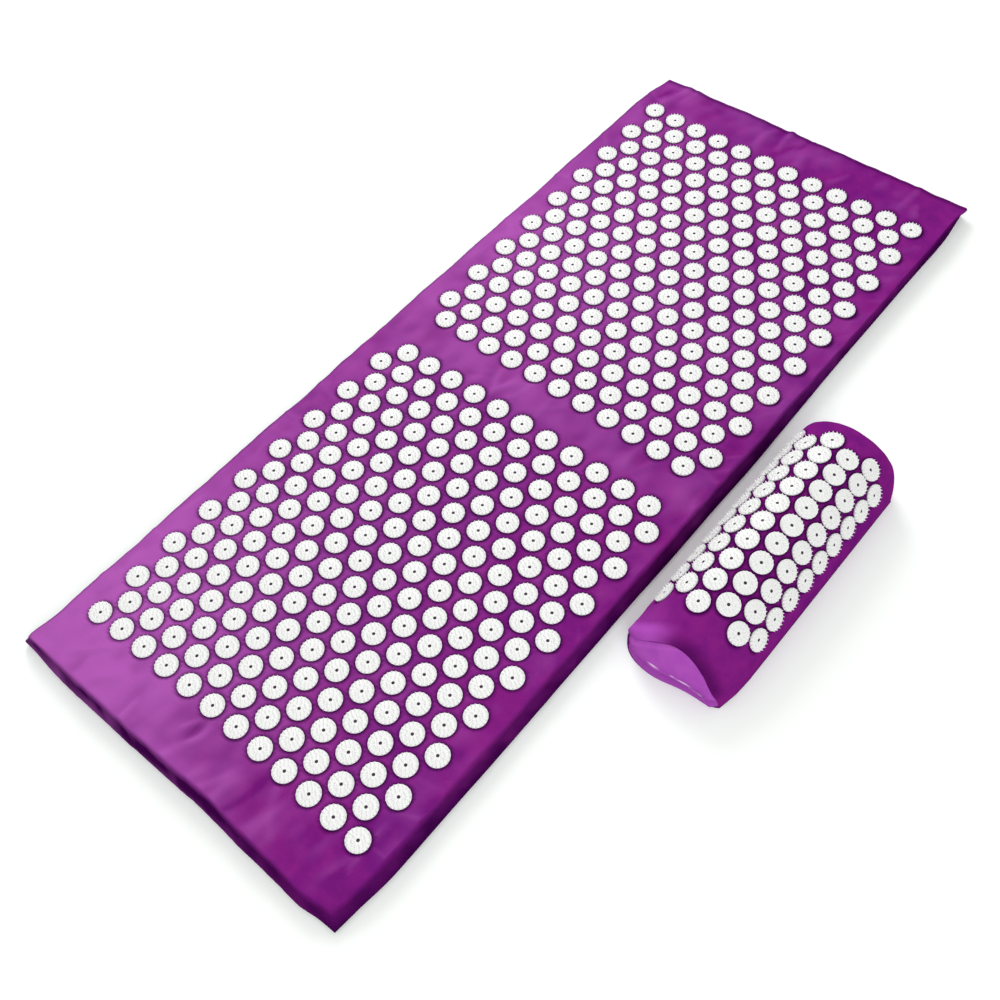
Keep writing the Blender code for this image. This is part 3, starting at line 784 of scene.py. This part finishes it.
# One disc: rings of points from its foot up over the rim and in to the hole, and three-sided spikes on it.
def discShape():
    sides = spikes["sides"]
    turns = np.arange(sides) * 2 * pi / sides
    rims = [together(r * np.cos(turns), r * np.sin(turns), z) for r, z, _ in spikes["profile"]]
    holeShade = np.repeat([mask for _, _, mask in spikes["profile"]], sides)
    ids = np.arange(len(holeShade)).reshape(-1, sides)
    corners = []
    up = np.array([0, 0, 1.0])
    foot = spikes["root"] * up
    for count, inner, outer, tip, height, half in spikes["rings"]:
        around = (np.arange(count) + 0.5 * (count % 2)) * 2 * pi / count
        outward = together(np.cos(around), np.sin(around), 0)
        aside = together(-np.sin(around), np.cos(around), 0)
        corners.append(np.stack([
            outward * inner + foot, outward * outer - aside * half + foot, outward * outer + aside * half + foot,
            outward * tip + up * height,
        ], axis=1))
    corners = np.concatenate(corners)
    start = len(holeShade) + np.arange(len(corners)) * 4
    triangles = np.concatenate([together(start + a, start + b, start + 3) for a, b in ((0, 1), (1, 2), (2, 0))])
    points = np.concatenate([*rims, corners.reshape(-1, 3)])
    return points, (loopFaces(ids), ids[-1:], triangles), np.append(holeShade, np.zeros(len(corners) * 4))


# A field of discs: the one shape turned by each disc's own three directions and moved to its place.
def discField(name, middles, directions, body, seed, size=1.0):
    shape, faceSets, holeShade = discShape()
    shape = shape * size
    count = len(middles)
    spin = np.random.default_rng(seed).uniform(0, 2 * pi, count)[:, None]
    across = directions[:, 0] * np.cos(spin) + directions[:, 1] * np.sin(spin)
    along = directions[:, 1] * np.cos(spin) - directions[:, 0] * np.sin(spin)
    points = middles[:, None]
    for axis, way in enumerate((across, along, directions[:, 2])):
        points = points + shape[None, :, axis:axis + 1] * way[:, None]
    step = np.arange(count)[:, None, None] * len(shape)
    faceSets = [(faces[None] + step).reshape(-1, faces.shape[1]) for faces in faceSets]
    uv = np.tile(shape[:, :2] / discs["radius"], (count, 1))
    masks = {"holeShade": np.tile(holeShade, count)}
    piece = meshPiece(name, points.reshape(-1, 3), faceSets, discPlastic, uv, masks, spikes["sharp"])
    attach(piece, body)


def matDiscMiddles(direction):
    places = []
    for row in range(discs["rows"]):
        count = rowCount(row)
        across = (np.arange(count) - (count - 1) / 2) * discs["across"]
        along = direction * (discs["strip"] + row * discs["along"])
        moves = drifted(across, along)
        places.append(together(across + moves[0] + discs["aside"], along + moves[1], mat["top"]))
    return np.concatenate(places) + (*mat["place"], 0.0)


# Discs sit nearly level, each tipped a degree or so by the foam under it.
def tippedFrames(count, seed):
    tips = np.random.default_rng(seed).uniform(-spikes["tipping"], spikes["tipping"], (count, 2))
    up = unit(together(*tips.T, 1.0))
    across = unit(np.cross(np.array([0.0, 1.0, 0.0]), up))
    return np.stack([across, np.cross(up, across), up], axis=1)


for name, body, direction, seed in (("footDiscs", "foot_half", -1, 31), ("headDiscs", "head_half", 1, 32)):
    middles = matDiscMiddles(direction)
    discField(name, middles, tippedFrames(len(middles), seed), body, seed)
print("mat discs made")


# The pillow

pillow = {
    "centre": (0.27275, -0.011, 0.0), "length": 0.360, "width": 0.138, "height": 0.088,
    "cornerRun": 0.017, "seam": 0.0015, "cloth": 0.0012, "arcSteps": 104, "lengthSteps": 112,
    "curlSteps": 7, "discPitch": 0.0292, "discSize": 0.965, "discMove": (-0.0012, 0.0015),
    "crowding": 0.046, "columnPitch": 0.0289, "bareFoot": 0.045, "bareNear": 0.059,
    "bareFar": 0.035,
    # how far the feet of the arch lie to the left at the near end: the right one and the left one, and from where
    "footMoves": (0.0080, 0.0026), "footRun": (0.130, 0.054), "foamInset": 0.0040,
    "foamEnds": 0.010,
}
# The near end and the far end: reach from the middle, drop of the top, how suddenly it drops, the end face's
# form, a belly on the left of its foot and how far its left corner is rounded off
pillowEnds = {
    -1: {
        "reach": 0.1845, "drop": 0.027, "power": 2, "upright": 0.020, "lean": 0.0115,
        "cornerSetBack": 0.006, "belly": 0.009, "leftRound": 0.012,
    },
    1: {
        "reach": 0.183, "drop": 0.012, "power": 4, "upright": 0.0, "lean": 0.0,
        "cornerSetBack": 0.0145, "belly": 0.0, "leftRound": 0.0,
    },
}
# The end panels: grid, gap to the arch, fullness, the zip's band and its face, and short glints along the zip's
# lip, painted highlights, each a place across and up and a size both ways
panels = {
    "rows": 61, "columns": 139, "gap": 0.0005, "full": 0.0030, "zipFace": 0.1767,
    "zipSides": (0.0645, 0.0625), "zipTop": (0.0155, 0.0138), "zipFoot": (0.0020, 0.0034),
    "glints": (
        ((-0.0185, 0.0232), (0.0060, 0.0021)),
        ((0.0055, 0.0232), (0.0028, 0.0015)),
        ((0.0190, 0.0204), (0.0080, 0.0021)),
    ),
}


# The arch's height at the near end, -1, or the far end, 1
def endTop(end):
    return pillow["height"] - pillowEnds[end]["drop"]


# Distance of an end face from the pillow's middle: upright at first, then leaning back with the square of height.
def pillowEnd(across, height, end):
    form = pillowEnds[end]
    climb = np.clip((height - form["upright"]) / (endTop(end) - form["upright"]), 0, None)
    turned = np.clip((np.abs(across) - pillow["width"] / 2 + pillow["cornerRun"]) / pillow["cornerRun"], 0, None)
    belly = form["belly"] * bell(across, height, (-0.022, 0.0), (0.034, 0.035))
    rounded = form["leftRound"] * np.clip((-across - 0.040) / 0.030, 0, None) ** 2
    return form["reach"] - form["lean"] * climb ** 2 - form["cornerSetBack"] * turned ** 2 + belly - rounded


# Height of the half ellipse at a turn over it
def archLevel(height, turn):
    return pillow["seam"] + (height - pillow["seam"]) * np.sin(turn)


# An end line of the arch at a turn over it from the +X foot
def archEnd(turn, end):
    return pillowEnd(pillow["width"] / 2 * np.cos(turn), archLevel(endTop(end), turn), end)


# How far the pillow's sides lie to the left at its near end, with the square of the way there
def footMove(side, along):
    right, left = pillow["footMoves"]
    start, run = pillow["footRun"]
    most = right * np.clip(side, 0, 1) + left * np.clip(-side, 0, 1)
    return most * np.clip((-along - start) / run, 0, 1) ** 2


# A point on the arch: half an ellipse whose height falls off towards the ends with a power of the distance,
# its feet moved to the left at the near end.
def archPoint(turn, along, lift):
    nearDrop, farDrop = (
        form["drop"] * np.clip(side * along / archEnd(turn, side), 0, None) ** form["power"]
        for side, form in pillowEnds.items()
    )
    height = pillow["height"] - nearDrop - farDrop + lift
    across = (pillow["width"] / 2 + lift) * np.cos(turn) - footMove(np.cos(turn), along)
    return together(across, along, archLevel(height, turn))


# Turns over the arch and the way along it to each, for measuring on the cloth
def archRuns():
    turns = np.linspace(0.0, pi, 721)
    return turns, runAlong(pillow["width"] / 2 * np.cos(turns), (pillow["height"] - pillow["seam"]) * np.sin(turns))


# The discs' middles as the way over the arch and along it: columns, each second one half a pitch on, and a
# little closer together towards the far end.
def pillowDiscPlaces():
    arc = archRuns()[1][-1]
    columns = int((arc - 2 * pillow["bareFoot"]) / pillow["columnPitch"]) + 1
    span = pillow["length"] - pillow["bareNear"] - pillow["bareFar"]
    steps = int(span / pillow["discPitch"])
    places = []
    for column in range(columns):
        short = 1 - column % 2
        across = arc / 2 + (column - (columns - 1) / 2) * pillow["columnPitch"]
        share = (np.arange(steps + 1 - short) + short / 2) / steps
        along = pillow["bareNear"] - pillow["length"] / 2 + span * share * (1 + pillow["crowding"] * (1 - share))
        places.append(together(across, along) + pillow["discMove"])
    return np.concatenate(places)


def toPillowDisc(run, along):
    return np.min([np.hypot(run - across, along - middle) for across, middle in pillowDiscPlaces()], axis=0)


def toWorld(points):
    return points + pillow["centre"]


def addThickness(piece):
    shell = piece.modifiers.new("thickness", "SOLIDIFY")
    shell.thickness = pillow["cloth"]
    shell.offset = -1.0


# How far the arch's mouth curls in: tightly on the +X side of the near end, loosely elsewhere
def mouthCurl(turns, end):
    if end < 0:
        return 0.0018 + 0.0085 * ease(turns, 1.45, 2.1) * (1 - ease(turns, 2.35, 2.95))
    return 0.0045 + 0.0035 * ease(turns, 0.4, 1.6) * (1 - ease(turns, 2.0, 3.0))


# Creases of the arch's cloth near its two ends
def archCreases():
    chance = np.random.default_rng(5)
    return [
        (
            chance.uniform(0.02, 0.23), chance.choice((-1, 1)) * chance.uniform(0.125, 0.175),
            chance.normal(radians(80), radians(25)), chance.uniform(0.02, 0.05), chance.uniform(0.002, 0.005),
            chance.uniform(-0.0006, 0.0009), 0.0,
        )
        for _ in range(36)
    ]


# The pillow's cloth: the arch, whose two mouths curl in over the end panels, each in a quarter circle.
def makePillowCloth():
    turns = np.linspace(0.0, pi, pillow["arcSteps"] + 1)
    nearEnds = archEnd(turns, -1)
    nearCurl, farCurl = mouthCurl(turns, -1), mouthCurl(turns, 1)
    nearFlat, farFlat = nearEnds - nearCurl, archEnd(turns, 1) - farCurl
    bends = np.linspace(0, pi / 2, pillow["curlSteps"] + 1)[1:, None]
    shares = np.linspace(-1, 1, pillow["lengthSteps"] + 1)[:, None]
    along = np.concatenate([
        -(nearFlat + nearCurl * np.sin(bends[::-1])),
        shares * np.where(shares < 0, nearFlat, farFlat),
        farFlat + farCurl * np.sin(bends),
    ])
    lift = np.concatenate([
        -nearCurl * (1 - np.cos(bends[::-1])), shares * np.zeros_like(turns), -farCurl * (1 - np.cos(bends)),
    ])
    turn = np.broadcast_to(turns, along.shape)
    runs = np.broadcast_to(np.interp(turns, *archRuns()), along.shape)
    away = toPillowDisc(runs, along)
    tuck = -0.0011 * (1 - bare(away, 0.0075, 0.0005))
    waves = 0.0004 * unevenness(runs, along, 0.05, 8) + 0.0002 * unevenness(runs, along, 0.018, 9)
    soft = bare(away) * (waves + creases(runs, along, archCreases()))
    lift = lift + (tuck + soft + 0.0004) * ease(np.sin(turn), 0.0, 0.12)
    points = toWorld(archPoint(turn, along, lift)).reshape(-1, 3)
    # Painted light on the arch's left near part and on the inside of the near mouth on the left, and a painted
    # shadow line along the mouth on the right
    leftNearLight = ease(turn, 1.7, 2.5) * ease(along, -0.115, -0.170)
    fromEnd = along + nearEnds
    mouth = ease(turn, 1.6, 2.2) * ease(fromEnd, 0.026, 0.006)
    mouthShadow = ease(turn, 1.9, 1.5) * ease(turn, 0.15, 0.6) * ease(fromEnd, 0.020, 0.002)
    masks = {"pale": np.maximum(0.35 * leftNearLight, mouth), "shade": 0.65 * mouthShadow, "tuck": tuckShadeShare(away)}
    uv = together(runs, along).reshape(-1, 2)
    cloth = meshPiece("pillowCloth", points, [gridFaces(*along.shape, True)], archCloth, uv, masks)
    addThickness(cloth)
    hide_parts("pillow_cover")
    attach(cloth, "pillow")


# An end panel: rows climb the arch's mouth and columns run across it to a point at the top.
# It fills out between its seams with the product of two round curves, and turns in to meet the arch's mouth.
def makePillowPanel(name, node, end):
    rows, columns = panels["rows"], panels["columns"]
    climbs, sides = np.meshgrid(np.linspace(0, 1, rows) * pi / 2, np.linspace(-1, 1, columns), indexing="ij")
    left, right = (
        archPoint(turn, end * archEnd(turn, end), panels["gap"] - mouthCurl(turn, end))
        for turn in (pi - climbs, climbs)
    )
    across, level = ((left[..., axis] * (1 - sides) + right[..., axis] * (1 + sides)) / 2 for axis in (0, 2))
    face = pillowEnd(across, level, end)
    fromSeam = (right[..., 0] - left[..., 0]) / 2 * (1 - np.abs(sides))
    mouth = archEnd(np.where(sides < 0, pi - climbs, climbs), end)
    face = face + (mouth - face) * ease(fromSeam, 0.009, 0.0)
    fill = panels["full"] * (1 - sides ** 2) * np.sin(pi * np.clip(level / endTop(end), 0, 1)) ** 0.8
    seam = ease(1 - np.abs(sides), 0.06, 0.0) + ease(climbs, pi / 2 - 0.12, pi / 2)
    sunk = 0.0009 if end > 0 else 0.0001 + 0.0008 * ease(sides, -0.3, 0.2)
    out = face - sunk * np.clip(seam, 0, 1) + 0.0002
    if end < 0:
        zipBand = ease(np.abs(across), *panels["zipSides"]) * ease(level, *panels["zipTop"])
        out = out + fill * ease(level, 0.014, 0.030)
        out = out + (panels["zipFace"] - out) * zipBand * ease(level, *panels["zipFoot"])
    else:
        out = out + fill
    loose = 0.0004 * unevenness(across, level, 0.030, 14) * ease(level, 0.016, 0.024)
    points = toWorld(together(across, end * (out + loose), level))
    body = (rows - 1) * columns
    kept = np.append(np.arange(body), body + columns // 2)
    start = body - columns + np.arange(columns - 1)
    order = (start, start + 1) if end < 0 else (start + 1, start)
    faceSets = [gridFaces(rows - 1, columns, end > 0), together(*order, body)]
    uv = together(across, level + 2.0).reshape(-1, 2)[kept]
    # Painted highlights: pale glints along the zip's lip, on the near panel only
    glints = (end < 0) * sum(bell(across, level, place, size) for place, size in panels["glints"])
    masks = {"pale": np.clip(1.3 * glints.ravel()[kept] - 0.1, 0, 1)}
    panel = meshPiece(name, points.reshape(-1, 3)[kept], faceSets, endLitCloth, uv, masks)
    addThickness(panel)
    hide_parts(node)
    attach(panel, "pillow")


# The pillow's base: a thin slab to the arch's outline.
def makePillowBase():
    half = pillow["width"] / 2
    rows, columns = 15, 41
    across = np.linspace(-half, half, columns)
    steps = np.linspace(0, 1, rows)[:, None]
    along = -pillowEnd(across, 0.0, -1) * (1 - steps) + pillowEnd(across, 0.0, 1) * steps
    spread = across - footMove(across / half, along)
    points = together(spread, along, 0).reshape(-1, 3)
    base = meshPiece("pillowBase", toWorld(points), [gridFaces(rows, columns, True)], baseCloth, points[:, :2])
    addThickness(base)
    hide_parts("pillow_base_panel")
    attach(base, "pillow")


# The pillow's foam: loops round the arch and back under it, each a little inside the cloth.
def makePillowFoam():
    turns = np.linspace(0.0, pi, 41)
    shares = np.linspace(-1, 1, 31)[:, None]
    ends = np.where(shares < 0, archEnd(turns, -1), archEnd(turns, 1)) - pillow["foamEnds"]
    loops = toWorld(archPoint(turns, shares * ends, -pillow["foamInset"]) + (0.0, 0.0, 0.001))
    foam = bodyPiece("pillowFoam", loops, foamFill)
    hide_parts("pillow_foam")
    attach(foam, "pillow")


# The pillow's discs stand square to the arch, which two short steps over it and along it tell.
def makePillowDiscs():
    places, along = pillowDiscPlaces().T
    turn = np.interp(places, *archRuns()[::-1])
    small = 1e-4
    middle = archPoint(turn, along, 0.0)
    overArch = archPoint(turn + small, along, 0.0) - middle
    endwise = archPoint(turn, along + small, 0.0) - middle
    up = unit(np.cross(endwise, overArch))
    endwise = unit(endwise)
    directions = np.stack([np.cross(endwise, up), endwise, up], axis=1)
    discField("pillowDiscs", toWorld(middle) - up * 0.0005, directions, "pillow", 41, pillow["discSize"])


makePillowCloth()
makePillowPanel("pillowNearPanel", "pillow_near_panel", -1)
makePillowPanel("pillowFarPanel", "pillow_far_panel", 1)
makePillowBase()
makePillowFoam()
makePillowDiscs()
print("pillow made")


# The zips keep their solids and get their finishes

for owner, tape, paint in (("mat", matTape, matZipPaint), ("pillow", pillowTape, pillowZipPaint)):
    finishes = {"upper_tape": tape, "lower_tape": tape, "slider": paint, "pull": paint}
    for part, material in finishes.items():
        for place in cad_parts[owner + "_zip_" + part].material_slots:
            place.material = material
print("zips finished")


# Floor, light and camera

stage = {
    "floorHalf": 30.0, "floor": (0.80, 0.80, 0.80), "floorSeen": (0.95, 0.99, 0.955), "lift": 0.12,
    "world": 0.68,
    # each lamp's place, size and power
    "lamps": {"key": ((-2.40, 1.70, 1.90), 1.5, 57.0), "fill": ((1.90, -1.30, 1.80), 1.5, 19.0)},
    "lens": 42.425,
    "camera": (0.560145, -0.681536, 1.218624),
    "cameraTurn": (33.37825, 4.28188, 40.63709),
}


# 1 for what the camera sees, straight or in gloss and glass, and 0 for light on other surfaces
def seenDirectly(tree):
    path = put(tree, "ShaderNodeLightPath").outputs
    gloss = sums(tree, "MAXIMUM", path["Is Glossy Ray"], path["Is Transmission Ray"])
    return sums(tree, "MAXIMUM", path["Is Camera Ray"], gloss)


# The camera sees the floor a little lifted towards white; everything else sees its plain colour.
def makeFloor():
    points = stage["floorHalf"] * np.array([(-1, -1, 0), (1, -1, 0), (1, 1, 0), (-1, 1, 0)])
    material, tree, shader = newMaterial("paleFloor", 0.9, Specular_IOR_Level=0.0)
    seen = seenDirectly(tree)
    colour = mixColours(tree, seen, stage["floor"], stage["floorSeen"])
    tree.links.new(colour, shader.inputs["Base Color"])
    shader.inputs["Emission Color"].default_value = (1, 1, 1, 1)
    tree.links.new(product(tree, seen, stage["lift"]), shader.inputs["Emission Strength"])
    floor = meshPiece("floor", points, [np.array([[0, 1, 2, 3]])], material)


def makeLight():
    world = bpy.data.worlds.new("studio")
    bpy.context.scene.world = world
    world.use_nodes = True
    tree = world.node_tree
    sky = tree.nodes["Background"]
    sky.inputs["Color"].default_value = (1, 1, 1, 1)
    tree.links.new(ranged(tree, seenDirectly(tree), 0.0, 1.0, stage["world"], 1.0), sky.inputs["Strength"])
    for name, (place, size, power) in stage["lamps"].items():
        lamp = bpy.data.lights.new(name, "AREA")
        lamp.energy = power
        lamp.size = size
        turned = Vector(place).to_track_quat("Z", "Y").to_matrix().to_4x4()
        linked(name, lamp).matrix_world = Matrix.Translation(place) @ turned


def makeCamera():
    lens = bpy.data.cameras.new("camera")
    lens.sensor_width = 36.0
    lens.lens = stage["lens"]
    lens.clip_start = 0.01
    camera = linked("camera", lens)
    camera.location = stage["camera"]
    camera.rotation_euler = [radians(turn) for turn in stage["cameraTurn"]]
    bpy.context.scene.camera = camera


makeFloor()
makeLight()
makeCamera()
bpy.context.scene.view_settings.view_transform = "Standard"
print("floor, light and camera made")
